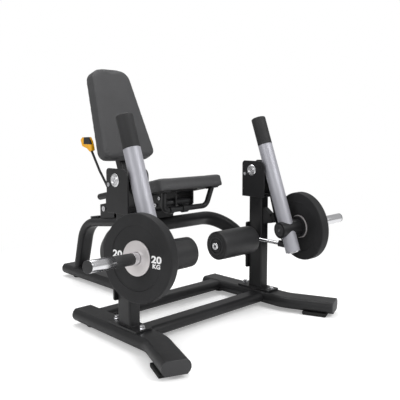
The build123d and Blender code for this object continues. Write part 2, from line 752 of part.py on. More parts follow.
def back_outline(inset, low_r, high_r):
    w0, w1 = back_low_half - inset, back_high_half - inset
    side_top = back_len - inset - crown + 4
    edges = [
        Line((w0, inset), (w1, side_top)),
        ThreePointArc((w1, side_top), (0, side_top + crown), (-w1, side_top)),
        Line((-w1, side_top), (-w0, inset)),
        Line((-w0, inset), (w0, inset)),
    ]
    face = make_face(edges)
    corners = face.vertices().sort_by(Axis.Y)
    face = fillet(corners[:2], low_r)
    corners = [v for v in face.vertices() if v.Y > side_top - 2]
    return fillet(corners, high_r)


def back_pad():
    pad = pad_with_pocket(back_outline(0, 48, 50), back_outline(board_inset - pad_gap, 38, 40), back_pad_t)
    return back_plane(back_pad_t) * pad


def back_board():
    return back_plane(back_pad_t) * extrude(back_outline(board_inset, 38, 40), board_t)


def carriage():
    """Tilted block that runs on the rail, with the hub of the release lever on one side."""
    height = carriage_low + carriage_high
    block = Box(2 * carriage_half_x, carriage_len, height, align=(Align.CENTER, Align.MIN, Align.MIN))
    block = Pos(0, 0, -carriage_low) * fillet(block.edges().filter_by(Axis.Y), 8)
    body = rail_plane(carriage_y) * block
    body += x_rod(-carriage_half_x - 22, -carriage_half_x + 14, release_y, release_z, release_hub_r)
    body -= rail_slug(0, 400, rail_r + rail_fit)
    return body - x_rod(-carriage_half_x - 30, -carriage_half_x, release_y, release_z, release_r + shaft_fit)


def back_post():
    place = back_plane(back_pad_t + post_plate_t + post_d / 2)
    outer = RectangleRounded(post_x, post_d, post_corner)
    k = 2 * post_wall
    inner = RectangleRounded(post_x - k, post_d - k, post_corner - post_wall)
    origin = place * Pos(0, post_reach, 0)
    top = Plane(origin=origin.position, x_dir=(1, 0, 0), z_dir=-place.y_dir)
    post = top * extrude(outer - inner, post_reach + post_low)
    post += top * extrude(outer, post_wall)
    keep = Box(400, 3000, 3000, align=(Align.CENTER, Align.CENTER, Align.MIN))
    post = post & (rail_plane(carriage_y) * Pos(0, 0, carriage_high) * keep)
    plate = Box(*back_plate, post_plate_t, align=(Align.CENTER, Align.CENTER, Align.MIN))
    return post + back_plane(back_pad_t + post_plate_t) * Pos(0, back_plate_at, 0) * plate


# ---------------- release lever ----------------
def release_lever():
    x = release_x
    points = [
        (-carriage_half_x, release_y, release_z),
        (x, release_y, release_z),
    ]
    points += [(x, y, z) for y, z in release_path]
    return rod(points, release_r, release_bend_r)


def handle_body():
    body = yz_prism(handle_path, release_x, handle_w)
    return fillet(body.edges().filter_by(Axis.X), handle_edge_r)


def release_handle():
    x = release_x - handle_w / 2
    return handle_body() - yz_prism(insert_path, x, 2 * insert_w) - release_lever()


def handle_insert():
    face = offset(make_face(Polyline(*insert_path, close=True)), -insert_gap, kind=Kind.INTERSECTION)
    width = insert_w - insert_gap
    return handle_body() & (Plane.YZ.offset(release_x - handle_w / 2) * extrude(face, width))


# ---------------- fasteners ----------------
def bolts():
    found = []
    for y in (base_plate_y[0] + base_bolt_in, base_plate_y[1] - base_bolt_in):
        found += both(hex_bolt(Pos(side_x, y, beam_top + base_plate_t)))
    back = rear_face_y() + flange_t
    for dx in (-flange_bolt_x, flange_bolt_x):
        for z in flange_bolt_z:
            found += both(bolt(Plane(origin=(side_x + dx, back, z), z_dir=(0, 1, 0)).location))
    for y, z in head_bolts:
        for x, d in ((side_x + head_w / 2, 1), (side_x - head_w / 2, -1)):
            found += both(bolt(Plane(origin=(x, y, z), z_dir=(d, 0, 0)).location))
    y, z = rail_bolt
    place = Plane(origin=(rail_plate_x + rail_plate_t / 2, y, z), z_dir=(1, 0, 0))
    found += both(bolt(place.location, rail_bolt_r, rail_bolt_h))
    x = bracket_x + bracket_t / 2
    for y, z in seat_bolts:
        found += both(bolt(Plane(origin=(x, y, z), z_dir=(1, 0, 0)).location))
    return found


def make_frame():
    arch, arch_full = arch_tube()
    save(arch, "arch_tube")
    save(group(both(arch_flange())), "arch_flanges")
    spine, spine_full = spine_tube(arch_full)
    save(spine, "spine_tube")
    save(cover_strip(spine_full), "spine_cover_strip")
    save(rail_bracket(spine_full), "rail_bracket")
    save(guide_rail(), "guide_rail")
    save(seat_bracket(arch_full), "seat_bracket")
    save(seat_board(), "seat_board")
    save(seat_pad(), "seat_pad")
    save(hand_bar(), "hand_bar")
    save(carriage(), "back_carriage")
    save(back_post(), "back_post")
    save(back_board(), "back_board")
    save(back_pad(), "back_pad")
    save(release_lever(), "release_lever")
    save(release_handle(), "release_handle")
    save(handle_insert(), "handle_insert")
    save(group(bolts()), "frame_bolts")


make_base()
make_uprights()
make_levers()
make_frame()
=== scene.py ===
import json
import math
import bpy
import bmesh
from mathutils import Matrix, Vector

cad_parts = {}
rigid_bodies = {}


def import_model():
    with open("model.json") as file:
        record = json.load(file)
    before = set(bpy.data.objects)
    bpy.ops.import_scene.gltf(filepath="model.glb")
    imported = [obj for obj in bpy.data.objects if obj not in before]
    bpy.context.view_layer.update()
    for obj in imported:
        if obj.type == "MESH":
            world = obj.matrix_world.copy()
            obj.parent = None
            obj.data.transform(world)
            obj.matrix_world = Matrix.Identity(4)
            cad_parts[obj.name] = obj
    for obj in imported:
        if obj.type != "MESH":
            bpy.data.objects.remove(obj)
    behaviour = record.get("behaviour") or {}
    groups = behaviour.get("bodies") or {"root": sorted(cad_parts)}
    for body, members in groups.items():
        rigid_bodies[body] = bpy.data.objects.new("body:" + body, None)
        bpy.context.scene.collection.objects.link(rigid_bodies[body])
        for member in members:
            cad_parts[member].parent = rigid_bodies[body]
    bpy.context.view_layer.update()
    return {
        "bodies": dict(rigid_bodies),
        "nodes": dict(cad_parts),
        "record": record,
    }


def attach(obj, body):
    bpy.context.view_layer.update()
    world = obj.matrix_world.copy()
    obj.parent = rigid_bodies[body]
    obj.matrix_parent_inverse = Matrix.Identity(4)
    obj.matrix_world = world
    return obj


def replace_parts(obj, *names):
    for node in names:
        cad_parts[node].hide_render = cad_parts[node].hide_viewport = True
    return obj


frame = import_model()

scene = bpy.context.scene
nodes = frame["nodes"]
rad = math.radians


# where things sit, in metres, the same values as the construction
lever = {"x": 0.435, "topY": -0.387, "topZ": 1.004, "tilt": rad(19.8), "length": 0.733, "radius": 0.038,
         "grip": 0.1495, "sleeve": 0.003, "knuckleIn": 0.053}
horn = {"along": 0.610, "splay": rad(11.3), "rise": rad(4.0), "radius": 0.0245, "start": 0.0787, "tip": 0.383,
        "bandIn": 0.150, "bandOut": 0.256, "sink": 0.0005}
plate = {"start": 0.079, "thick": 0.046, "radius": 0.180, "dish": 0.129, "dishDepth": 0.004, "hub": 0.071,
         "innerHub": 0.061, "bore": 0.0253}
roller = {"y": -0.415, "z": 0.363, "inner": 0.091, "outer": 0.345, "radius": 0.073}
seat = {"y": -0.340, "z": 0.718, "tilt": rad(12), "depth": 0.380, "half": 0.214, "thick": 0.062,
        "corner": 0.022}
back = {"y": 0.157, "z": 0.804, "tilt": rad(21.7), "length": 0.537, "low": 0.173, "high": 0.123,
        "thick": 0.072, "drop": 0.012}
pivot = {"y": -0.395, "z": 0.730, "capRadius": 0.029, "capThick": 0.007, "headHalf": 0.0565}
upright = {"y": -0.397, "wide": 0.060, "deep": 0.090, "corner": 0.010, "low": 0.088, "high": 0.587}


def axisFrame(origin, zAxis, xHint=(1, 0, 0)):
    z = Vector(zAxis).normalized()
    x = (Vector(xHint) - z * Vector(xHint).dot(z)).normalized()
    y = z.cross(x)
    turn = Matrix((x, y, z)).transposed().to_4x4()
    return Matrix.Translation(origin) @ turn


def leverFrame(side, along=0.0):
    s, c = math.sin(lever["tilt"]), math.cos(lever["tilt"])
    origin = (side * lever["x"], lever["topY"] - along * s, lever["topZ"] - along * c)
    return axisFrame(origin, (0, -s, -c))


def hornFrame(side):
    a, b = horn["splay"], horn["rise"]
    out = (side * math.cos(a) * math.cos(b), -math.sin(a) * math.cos(b), math.sin(b))
    return axisFrame(leverFrame(side, horn["along"]).translation, out, (0, side, 0))


def seatFrame():
    a = seat["tilt"]
    return axisFrame((0, seat["y"], seat["z"]), (0, math.sin(a), math.cos(a)))


def backFrame():
    a = back["tilt"]
    origin = (0, back["y"] - back["drop"] * math.sin(a), back["z"] - back["drop"] * math.cos(a))
    return axisFrame(origin, (0, -math.cos(a), math.sin(a)))


finishes = {
    "framePaint": {"colour": (0.014, 0.014, 0.015), "rough": 0.40, "grain": 900, "bump": 0.10, "vary": 0.16,
                   "shine": 0.34},
    "leverSilver": {"colour": (0.375, 0.375, 0.410), "rough": 0.50, "metal": 0.35, "grain": 1500,
                    "bump": 0.03, "vary": 0.05, "coat": 0.08},
    "chrome": {"colour": (0.76, 0.76, 0.78), "rough": 0.21, "metal": 1.0, "grain": 300, "bump": 0.015,
               "vary": 0.05},
    "gripBlack": {"colour": (0.026, 0.026, 0.027), "rough": 0.66, "grain": 1400, "bump": 0.12, "vary": 0.12,
                  "shine": 0.30},
    "plateBlack": {"colour": (0.015, 0.015, 0.016), "rough": 0.62, "grain": 700, "bump": 0.22, "vary": 0.20,
                   "shine": 0.30},
    "padCover": {"colour": (0.054, 0.054, 0.056), "rough": 0.60, "leather": 520, "bump": 0.35, "vary": 0.08,
                 "shine": 0.35},
    "rollerSkin": {"colour": (0.018, 0.018, 0.019), "rough": 0.46, "leather": 700, "bump": 0.18, "vary": 0.15,
                   "shine": 0.40},
    "padBoard": {"colour": (0.016, 0.016, 0.016), "rough": 0.70, "grain": 260, "bump": 0.30, "vary": 0.30,
                 "shine": 0.25},
    "mouldedBlack": {"colour": (0.022, 0.022, 0.023), "rough": 0.52, "grain": 1800, "bump": 0.20,
                     "vary": 0.12, "shine": 0.40},
    "capGrey": {"colour": (0.038, 0.038, 0.040), "rough": 0.50, "grain": 1800, "bump": 0.16, "vary": 0.12,
                "shine": 0.40},
    "feetRubber": {"colour": (0.018, 0.018, 0.018), "rough": 0.78, "grain": 1000, "bump": 0.30, "vary": 0.25,
                   "shine": 0.25},
    "handleYellow": {"colour": (0.91, 0.44, 0.010), "rough": 0.32, "grain": 900, "bump": 0.05, "vary": 0.05,
                     "coat": 0.3},
    "insertBlack": {"colour": (0.010, 0.010, 0.012), "rough": 0.38, "grain": 1200, "bump": 0.10,
                    "vary": 0.10},
    "numeralWhite": {"colour": (0.86, 0.86, 0.86), "rough": 0.50, "grain": 900, "bump": 0.05, "vary": 0.03},
}
slotOf = {"framePaint": "frame_paint", "leverSilver": "lever_silver", "chrome": "chrome",
          "gripBlack": "grip_black", "plateBlack": "plate_black", "hubSteel": "hub_steel",
          "padCover": "pad_cover", "padBoard": "pad_board", "rollerSkin": "roller_cover",
          "mouldedBlack": "moulding_black", "insertBlack": "moulding_black",
          "feetRubber": "feet_rubber", "handleYellow": "handle_yellow", "numeralWhite": "plate_black",
          "capGrey": "moulding_black"}
materials = {}


def newMaterial(name, values):
    mat = bpy.data.materials.new(name)
    mat.use_nodes = True
    tree = mat.node_tree
    shader = tree.nodes["Principled BSDF"]
    shader.inputs["Metallic"].default_value = values.get("metal", 0.0)
    shader.inputs["Coat Weight"].default_value = values.get("coat", 0.0)
    shader.inputs["Coat Roughness"].default_value = 0.12
    shader.inputs["Specular IOR Level"].default_value = values.get("shine", 0.5)
    place = tree.nodes.new("ShaderNodeTexCoord")

    def noise(size, detail):
        node = tree.nodes.new("ShaderNodeTexNoise")
        node.inputs["Scale"].default_value = size
        node.inputs["Detail"].default_value = detail
        tree.links.new(place.outputs["Object"], node.inputs["Vector"])
        return node.outputs["Fac"]

    def blendRamp(source, low, high):
        ramp = tree.nodes.new("ShaderNodeValToRGB")
        ramp.color_ramp.elements[0].position = 0.3
        ramp.color_ramp.elements[1].position = 0.7
        ramp.color_ramp.elements[0].color = low
        ramp.color_ramp.elements[1].color = high
        tree.links.new(source, ramp.inputs["Fac"])
        return ramp.outputs["Color"]

    vary = values["vary"]
    dark = [c * (1 - vary) for c in values["colour"]] + [1]
    light = [c * (1 + vary) for c in values["colour"]] + [1]
    cloud = noise(7, 4)
    tree.links.new(blendRamp(cloud, dark, light), shader.inputs["Base Color"])
    spread = tree.nodes.new("ShaderNodeMapRange")
    spread.inputs["To Min"].default_value = max(values["rough"] - 0.06, 0.03)
    spread.inputs["To Max"].default_value = values["rough"] + 0.06
    tree.links.new(noise(38, 5), spread.inputs["Value"])
    tree.links.new(spread.outputs["Result"], shader.inputs["Roughness"])
    bump = tree.nodes.new("ShaderNodeBump")
    bump.inputs["Strength"].default_value = values["bump"]
    bump.inputs["Distance"].default_value = 0.0006
    if "leather" in values:
        cells = tree.nodes.new("ShaderNodeTexVoronoi")
        cells.feature = "DISTANCE_TO_EDGE"
        cells.inputs["Scale"].default_value = values["leather"]
        tree.links.new(place.outputs["Object"], cells.inputs["Vector"])
        clip = tree.nodes.new("ShaderNodeMapRange")
        clip.inputs["From Max"].default_value = 0.25
        tree.links.new(cells.outputs["Distance"], clip.inputs["Value"])
        tree.links.new(clip.outputs["Result"], bump.inputs["Height"])
    else:
        tree.links.new(noise(values["grain"], 3), bump.inputs["Height"])
    tree.links.new(bump.outputs["Normal"], shader.inputs["Normal"])
    return mat


def brushedDisc(name, colour, side):
    mat = bpy.data.materials.new(name)
    mat.use_nodes = True
    tree = mat.node_tree
    shader = tree.nodes["Principled BSDF"]
    shader.inputs["Metallic"].default_value = 0.55
    place = tree.nodes.new("ShaderNodeTexCoord")
    centred = tree.nodes.new("ShaderNodeMapping")
    back = hornFrame(side).inverted()
    centred.inputs["Location"].default_value = back.translation
    centred.inputs["Rotation"].default_value = back.to_euler()
    flat = tree.nodes.new("ShaderNodeVectorMath")
    flat.operation = "MULTIPLY"
    flat.inputs[1].default_value = (1, 1, 0)
    reach = tree.nodes.new("ShaderNodeVectorMath")
    reach.operation = "LENGTH"
    rings = tree.nodes.new("ShaderNodeTexNoise")
    rings.noise_dimensions = "1D"
    rings.inputs["Scale"].default_value = 1800
    rings.inputs["Detail"].default_value = 4
    tree.links.new(place.outputs["Object"], centred.inputs["Vector"])
    tree.links.new(centred.outputs["Vector"], flat.inputs[0])
    tree.links.new(flat.outputs["Vector"], reach.inputs[0])
    tree.links.new(reach.outputs["Value"], rings.inputs["W"])
    ramp = tree.nodes.new("ShaderNodeValToRGB")
    ramp.color_ramp.elements[0].color = [c * 0.86 for c in colour] + [1]
    ramp.color_ramp.elements[1].color = [min(c * 1.1, 1) for c in colour] + [1]
    tree.links.new(rings.outputs["Fac"], ramp.inputs["Fac"])
    tree.links.new(ramp.outputs["Color"], shader.inputs["Base Color"])
    spread = tree.nodes.new("ShaderNodeMapRange")
    spread.inputs["To Min"].default_value = 0.30
    spread.inputs["To Max"].default_value = 0.46
    tree.links.new(rings.outputs["Fac"], spread.inputs["Value"])
    tree.links.new(spread.outputs["Result"], shader.inputs["Roughness"])
    bump = tree.nodes.new("ShaderNodeBump")
    bump.inputs["Strength"].default_value = 0.12
    bump.inputs["Distance"].default_value = 0.0004
    tree.links.new(rings.outputs["Fac"], bump.inputs["Height"])
    tree.links.new(bump.outputs["Normal"], shader.inputs["Normal"])
    return mat


for finishName, finishValues in finishes.items():
    materials[finishName] = newMaterial(finishName, finishValues)
for side, sideName in ((1, "right"), (-1, "left")):
    materials[sideName + "HubSteel"] = brushedDisc(sideName + "HubSteel", (0.66, 0.63, 0.63), side)
print("finishes made:", len(materials))


# helpers for making pieces
def makePiece(name, bm, finish, body, smooth=35):
    bmesh.ops.remove_doubles(bm, verts=bm.verts, dist=1e-6)
    bmesh.ops.recalc_face_normals(bm, faces=bm.faces)
    mesh = bpy.data.meshes.new(name)
    bm.to_mesh(mesh)
    bm.free()
    mesh.shade_smooth()
    mesh.set_sharp_from_angle(angle=rad(smooth))
    mesh.materials.append(materials[finish])
    piece = bpy.data.objects.new(name, mesh)
    scene.collection.objects.link(piece)
    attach(piece, body)
    return piece


def spun(profile, place, steps=96, roundOff=0.0, segments=3):
    # profile is a list of (radius, height) that starts and ends on the axis or closes on itself
    bm = bmesh.new()
    verts = [bm.verts.new((r, 0, z)) for r, z in profile]
    closed = profile[0][0] > 1e-9
    edges = [bm.edges.new(pair) for pair in zip(verts, verts[1:])]
    if closed:
        edges.append(bm.edges.new((verts[-1], verts[0])))
    if roundOff:
        corners = [v for v in verts if v.co.x > 1e-9]
        bmesh.ops.bevel(bm, geom=corners, offset=roundOff, offset_type="OFFSET", affect="VERTICES",
                        segments=segments, profile=0.5, material=-1)
    bmesh.ops.spin(bm, geom=bm.verts[:] + bm.edges[:], cent=(0, 0, 0), axis=(0, 0, 1), angle=math.tau,
                   steps=steps, use_merge=True)
    bmesh.ops.remove_doubles(bm, verts=bm.verts, dist=1e-6)
    bmesh.ops.transform(bm, matrix=place, verts=bm.verts)
    return bm


def join(bm, extra):
    mesh = bpy.data.meshes.new("joining")
    extra.to_mesh(mesh)
    extra.free()
    bm.from_mesh(mesh)
    bpy.data.meshes.remove(mesh)


def softCopy(node, width, finish, segments=2, angle=32):
    # the same shape with its hard edges rounded, standing for the CAD node
    source = nodes[node]
    bm = bmesh.new()
    bm.from_mesh(source.data)
    bmesh.ops.remove_doubles(bm, verts=bm.verts, dist=2e-5)
    bmesh.ops.dissolve_limit(bm, angle_limit=rad(0.6), verts=bm.verts, edges=bm.edges)
    body = next(b for b in frame["bodies"] if source.parent == frame["bodies"][b])
    piece = makePiece(node + "_finished", bm, finish, body)
    soft = piece.modifiers.new("edges", "BEVEL")
    soft.width = width
    soft.segments = segments
    soft.limit_method = "ANGLE"
    soft.angle_limit = rad(angle)
    soft.harden_normals = True
    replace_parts(piece, node)
    return piece


# CAD nodes that keep their own shape get their finish
nodeFinish = {row["node"]: row["material_slot"] for row in frame["record"]["subparts"]}
finishOfSlot = {v: k for k, v in slotOf.items() if k not in ("insertBlack", "numeralWhite", "capGrey")}
finishOfSlot["hub_steel"] = "leftHubSteel"
for nodeName, nodeObject in nodes.items():
    nodeObject.data.materials.clear()
    finish = "insertBlack" if nodeName == "handle_insert" else finishOfSlot[nodeFinish[nodeName]]
    nodeObject.data.materials.append(materials[finish])
print("CAD nodes dressed:", len(nodes))

# levers: grip, silver tube with its end plug, chrome horn with its dark band, for each side
leverTrim = {"gripRound": 0.004, "gap": 0.0012, "plug": 0.0330, "plugRise": 0.0060, "steps": 96}
knuckleForm = {"disc": 0.031, "edge": 0.029, "well": 0.0125, "lip": 0.0135, "deep": 0.0010, "proud": 0.0024,
               "screw": 0.0068, "screwProud": 0.0048}
for side, sideName in ((1, "right"), (-1, "left")):
    place = leverFrame(side)
    f, r, top, low = leverTrim, lever["radius"], lever["grip"], lever["length"]
    core = r - lever["sleeve"]
    sleeve = [(0, 0), (r - f["gripRound"], 0), (r, f["gripRound"]), (r, top - f["gap"]),
              (core + 0.0002, top - f["gap"]), (core + 0.0002, 0.006), (0, 0.006)]
    grip = makePiece(sideName + "GripSleeve", spun(sleeve, place, f["steps"], 0.0009, 4), "gripBlack",
                     sideName + "_lever")
    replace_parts(grip, sideName + "_grip_sleeve")
    barrel = [(0, 0.0065), (core, 0.0065), (core, top), (r, top), (r, low), (f["plug"] + 0.0012, low),
              (f["plug"] + 0.0012, low - 0.003), (0, low - 0.003)]
    tube = makePiece(sideName + "LeverTube", spun(barrel, place, f["steps"], 0.0010, 3), "leverSilver",
                     sideName + "_lever")
    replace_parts(tube, sideName + "_lever_tube")
    plugForm = [(0, low - 0.0028), (f["plug"], low - 0.0028), (f["plug"], low + 0.001),
                (f["plug"] * 0.86, low + f["plugRise"] * 0.7), (f["plug"] * 0.5, low + f["plugRise"]),
                (0, low + f["plugRise"] * 1.1)]
    makePiece(sideName + "EndPlug", spun(plugForm, place, 64, 0.0005, 2), "chrome", sideName + "_lever")

    out, h = hornFrame(side), horn
    r, mid, end = h["radius"], h["radius"] - 0.002, h["tip"]
    bar = [(0, h["start"]), (r, h["start"]), (r, h["bandIn"]), (mid, h["bandIn"]), (mid, h["bandOut"]),
           (r, h["bandOut"]), (r, end - 0.0062), (mid, end - 0.0062), (0, end - 0.0062)]
    chromeBar = makePiece(sideName + "Horn", spun(bar, out, f["steps"], 0.0006, 3), "chrome",
                          sideName + "_lever")
    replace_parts(chromeBar, sideName + "_horn")
    sleeve = [(mid + 0.0001, h["bandIn"] + 0.0003), (r - h["sink"], h["bandIn"] + 0.0003),
              (r - h["sink"], h["bandOut"] - 0.0003), (mid + 0.0001, h["bandOut"] - 0.0003)]
    trim = spun(sleeve, out, f["steps"], 0.0004, 2)
    cap = [(0, end - 0.006), (r - 0.0004, end - 0.006), (r - 0.0004, end - 0.002), (r - 0.003, end - 0.0004),
           (0, end)]
    join(trim, spun(cap, out, 64, 0.0006, 3))
    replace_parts(makePiece(sideName + "HornTrim", trim, "mouldedBlack", sideName + "_lever"),
                sideName + "_horn_trim")

    # the knuckle's inner disc, with a square screw at its middle
    k = knuckleForm
    knob = out @ Matrix.Translation((0, 0, -lever["knuckleIn"])) @ Matrix.Rotation(math.pi, 4, "X")
    disc = [(0, -0.001), (k["disc"], -0.001), (k["disc"], k["proud"] / 2), (k["edge"], k["proud"]),
            (k["lip"], k["proud"]), (k["well"], k["deep"]), (0, k["deep"])]
    makePiece(sideName + "KnuckleDisc", spun(disc, knob, 64, 0.0004, 2), "capGrey", sideName + "_lever")
    screw = [(0, 0.0006), (k["screw"], 0.0006), (k["screw"], k["screwProud"] - 0.0008),
             (k["screw"] - 0.0008, k["screwProud"]), (0, k["screwProud"])]
    makePiece(sideName + "KnuckleScrew", spun(screw, knob, 4), "chrome", sideName + "_lever")
print("levers and horns made")

# weight plates: a rubber ring with a dished face and a brushed steel hub
plateForm = {"rimRound": 0.006, "dishSlope": 0.0025, "hubDrop": 0.0010, "lip": 0.0022, "steps": 128}
for side, sideName in ((1, "right"), (-1, "left")):
    p, f = plate, plateForm
    out = hornFrame(side)
    near, far, mid = p["start"], p["start"] + p["thick"], p["start"] + p["thick"] / 2
    hubFar, hubNear = p["hub"] + 0.0002, p["innerHub"] + 0.0002
    ring = [(hubFar, mid), (hubFar, far - p["dishDepth"]), (p["dish"], far - p["dishDepth"]),
            (p["dish"] + f["dishSlope"], far), (p["radius"] - f["rimRound"], far),
            (p["radius"] - f["rimRound"] * 0.29, far - f["rimRound"] * 0.29),
            (p["radius"], far - f["rimRound"]), (p["radius"], near + f["rimRound"]),
            (p["radius"] - f["rimRound"] * 0.29, near + f["rimRound"] * 0.29),
            (p["radius"] - f["rimRound"], near), (p["dish"] + f["dishSlope"], near),
            (p["dish"], near + p["dishDepth"]), (hubNear, near + p["dishDepth"]), (hubNear, mid)]
    rubber = makePiece(sideName + "PlateRubber", spun(ring, out, f["steps"], 0.0009, 3), "plateBlack",
                       sideName + "_weight_plate")
    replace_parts(rubber, sideName + "_plate_rubber")
    faceOut, faceIn = far - f["hubDrop"], near + f["hubDrop"]
    disc = [(p["bore"], faceIn + 0.001), (p["bore"] + f["lip"], faceIn), (p["innerHub"] - 0.0002, faceIn),
            (p["innerHub"] - 0.0002, mid), (p["hub"] - 0.0002, mid), (p["hub"] - 0.0002, faceOut - 0.0008),
            (p["hub"] - 0.0014, faceOut), (p["bore"] + f["lip"], faceOut), (p["bore"], faceOut - 0.001)]
    hubPiece = makePiece(sideName + "PlateHub", spun(disc, out, f["steps"], 0.0003, 2), sideName + "HubSteel",
                         sideName + "_weight_plate")
    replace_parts(hubPiece, sideName + "_plate_hub")
print("plates made")

# plain numerals on the plates, set by their width and height
numerals = {"20": {"wide": 0.051, "high": 0.029, "up": 0.0070, "reach": 0.102},
            "KG": {"wide": 0.038, "high": 0.0175, "up": -0.0195, "reach": 0.103}}


def numeralMesh(words, wide, high, place):
    text = bpy.data.curves.new("numeral", "FONT")
    text.body = words
    text.size = high
    text.align_x, text.align_y = "CENTER", "CENTER"
    text.extrude = 0.0003
    text.offset = high * 0.036
    holder = bpy.data.objects.new("numeral", text)
    scene.collection.objects.link(holder)
    bpy.context.view_layer.update()
    mesh = bpy.data.meshes.new_from_object(holder.evaluated_get(bpy.context.evaluated_depsgraph_get()))
    bpy.data.objects.remove(holder)
    bm = bmesh.new()
    bm.from_mesh(mesh)
    low = [min(v.co[i] for v in bm.verts) for i in range(2)]
    top = [max(v.co[i] for v in bm.verts) for i in range(2)]
    for vert in bm.verts:
        vert.co.x = (vert.co.x - (low[0] + top[0]) / 2) * wide / (top[0] - low[0])
        vert.co.y = (vert.co.y - (low[1] + top[1]) / 2) * high / (top[1] - low[1])
    bmesh.ops.transform(bm, matrix=place, verts=bm.verts)
    return bm


for side, sideName in ((1, "right"), (-1, "left")):
    face = plate["start"] + plate["thick"] - plate["dishDepth"]
    out = hornFrame(side)
    axis = out.to_3x3() @ Vector((0, 0, 1))
    upward = axis.cross(Vector((0, 0, 1)).cross(axis)).normalized()
    across = upward.cross(axis)
    turned = Matrix((across, upward, axis)).transposed().to_4x4()
    marks = bmesh.new()
    for words, n in numerals.items():
        for way in (-1, 1):
            at = out @ Vector((0, 0, face)) + across * way * n["reach"] + upward * n["up"]
            join(marks, numeralMesh(words, n["wide"], n["high"], Matrix.Translation(at) @ turned))
    makePiece(sideName + "Numerals", marks, "numeralWhite", sideName + "_weight_plate")
print("numerals made")

# shin rollers
rollerForm = {"round": 0.008, "crown": 0.0012, "discRadius": 0.050}
# each ring: inner and outer radius, height, slope at the inner edge
rollerRings = ((0.0380, 0.0475, 0.0014, 0.0012), (0.0245, 0.0315, 0.0016, 0.0013))
for side, sideName in ((1, "right"), (-1, "left")):
    r, f = roller, rollerForm
    length = r["outer"] - r["inner"]
    place = axisFrame((side * r["inner"], r["y"], r["z"]), (side, 0, 0), (0, 0, 1))
    profile = [(f["discRadius"] + 0.0006, 0.004), (f["discRadius"] + 0.0006, 0.0015),
               (f["discRadius"] + 0.004, 0), (r["radius"] - f["round"], 0.0006)]
    curve = 5
    for i in range(1, curve + 1):
        turn = math.pi / 2 * i / curve
        profile.append((r["radius"] - f["round"] + f["round"] * math.sin(turn) - f["crown"],
                        0.0006 + f["round"] * (1 - math.cos(turn))))
    spans = 8
    for i in range(1, spans):
        t = i / spans
        profile.append((r["radius"] - f["crown"] * (1 - math.sin(math.pi * t)), 0.009 + (length - 0.018) * t))
    profile = profile + [(radius, length - height) for radius, height in reversed(profile[:4 + curve])]
    foam = spun(profile + [(0.0155, length - 0.004), (0.0155, 0.004)], place, 96)
    skin = makePiece(sideName + "RollerFoam", foam, "rollerSkin", sideName + "_roller", 50)
    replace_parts(skin, sideName + "_roller_foam")
    # raised rings on both end discs, clear of the nut and the rod in the middle
    rings = bmesh.new()
    for reach, way in ((r["inner"], -side), (r["outer"], side)):
        face = axisFrame((side * reach, r["y"], r["z"]), (way, 0, 0), (0, 0, 1))
        for near, wide, proud, slope in rollerRings:
            ring = [(near, -0.0025), (wide, -0.0025), (wide, proud - 0.001), (wide - 0.0013, proud),
                    (near + slope, proud), (near, proud - 0.001)]
            join(rings, spun(ring, face, 96, 0.0003, 2))
    makePiece(sideName + "RollerRings", rings, "capGrey", sideName + "_roller")
print("rollers made")

# cushions: a block is blown up as cloth, smoothed, then stretched back to its full size
cushionForm = {"voxel": 0.005, "pressure": 4.0, "cap": 0.0035, "shrink": 0.003, "frames": 20,
               "boardShows": 0.0015}


def cushionBlock(corners, radii, low, high, place, topRound, lowRound):
    # corners run anticlockwise in the cushion's own plane
    bm = bmesh.new()
    ring = [bm.verts.new((x, y, low)) for x, y in corners]
    bm.faces.new(ring)
    for vert, radius in zip(ring, radii):
        bmesh.ops.bevel(bm, geom=[vert], offset=radius, offset_type="OFFSET", affect="VERTICES", segments=8,
                        profile=0.5, material=-1)
    top = bmesh.ops.extrude_face_region(bm, geom=bm.faces[:])
    raised = [g for g in top["geom"] if isinstance(g, bmesh.types.BMVert)]
    bmesh.ops.translate(bm, verts=raised, vec=(0, 0, high - low))
    bmesh.ops.recalc_face_normals(bm, faces=bm.faces)
    for height, amount in ((high, topRound), (low, lowRound)):
        rim = [e for e in bm.edges if all(abs(v.co.z - height) < 1e-6 for v in e.verts)
               and len(e.link_faces) == 2 and any(abs(f.normal.z) < 0.5 for f in e.link_faces)]
        bmesh.ops.bevel(bm, geom=rim, offset=amount, offset_type="OFFSET", affect="EDGES", segments=5,
                        profile=0.5, material=-1)
    bmesh.ops.transform(bm, matrix=place, verts=bm.verts)
    return bm


def applied(piece):
    mesh = bpy.data.meshes.new_from_object(piece.evaluated_get(bpy.context.evaluated_depsgraph_get()))
    piece.modifiers.clear()
    piece.data = mesh


def inflate(piece, place, keepFlat):
    rest = [v.co.copy() for v in piece.data.vertices]
    inside = place.inverted()
    held = piece.vertex_groups.new(name="held")
    held.add([v.index for v in piece.data.vertices if (inside @ v.co).z < keepFlat], 1.0, "REPLACE")
    cloth = piece.modifiers.new("blow", "CLOTH")
    cloth.settings.use_pressure = True
    cloth.settings.uniform_pressure_force = cushionForm["pressure"]
    cloth.settings.effector_weights.gravity = 0
    cloth.settings.quality = 5
    cloth.settings.vertex_group_mass = "held"
    for step in range(1, cushionForm["frames"] + 1):
        scene.frame_set(step)
    applied(piece)
    piece.vertex_groups.clear()
    scene.frame_set(1)
    for vert, start in zip(piece.data.vertices, rest):
        move = vert.co - start
        if move.length > cushionForm["cap"]:
            vert.co = start + move * (cushionForm["cap"] / move.length)


def fitTo(piece, place, lows, highs):
    # smoothing draws a cushion in, so it is stretched back to its full size
    inside = place.inverted()
    points = [inside @ v.co for v in piece.data.vertices]
    for i in range(3):
        low, high = min(p[i] for p in points), max(p[i] for p in points)
        scale = (highs[i] - lows[i]) / (high - low)
        for point in points:
            point[i] = lows[i] + (point[i] - low) * scale
    for vert, point in zip(piece.data.vertices, points):
        vert.co = place @ point


